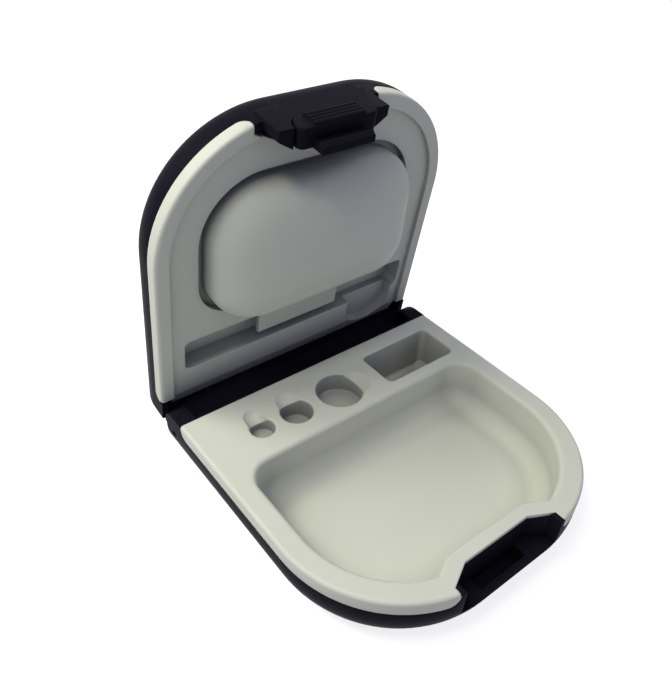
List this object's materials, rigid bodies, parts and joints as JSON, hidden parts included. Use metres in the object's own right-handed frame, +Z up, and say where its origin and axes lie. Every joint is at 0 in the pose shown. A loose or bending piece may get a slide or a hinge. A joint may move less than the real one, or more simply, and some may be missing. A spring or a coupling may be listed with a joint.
{
  "type": "hearing aid case",
  "caption": "Pocket-size clamshell hearing aid case with a hinged padded lid, a moulded tray of pockets and battery wells, and a press latch at the front.",
  "frame": {"origin": "middle of the flat bottom, half way between the front and the tray's back edge", "axes": "+Z up, +Y towards the hinge, +X to the right as the latch faces the user"},
  "size_m": [0.08, 0.0935, 0.088],
  "materials": {
    "black_shell": "satin",
    "pale_tray": "satin",
    "black_lid": "satin",
    "pale_liner": "satin",
    "pale_pad": "satin",
    "black_latch": "satin",
    "steel_latch_pin": "satin",
    "steel_spring": "satin",
    "steel_hinge_pin": "satin"
  },
  "bodies": {
    "base": {"base_shell": "black_shell", "base_tray": "pale_tray", "hinge_pin_left": "steel_hinge_pin", "hinge_pin_right": "steel_hinge_pin"},
    "lid": {"lid_shell": "black_lid", "lid_liner": "pale_liner", "hold_down_pad": "pale_pad", "latch_pin": "steel_latch_pin", "latch_spring": "steel_spring"},
    "latch": {"latch_lever": "black_latch"}
  },
  "joints": [
    {"name": "lid_hinge", "type": "hinge", "parent": "base", "child": "lid", "pos_m": [0, 0.0398, 0.0113], "axis": [1, 0, 0], "range_deg": [0, 82]},
    {"name": "latch_press", "type": "hinge", "parent": "lid", "child": "latch", "pos_m": [0, 0.04156, 0.08425], "axis": [1, 0, 0], "range_deg": [0, 5], "stiffness_Nm_per_rad": 0.15, "springref_deg": -5.73, "deforming": ["latch_spring"]}
  ]
}
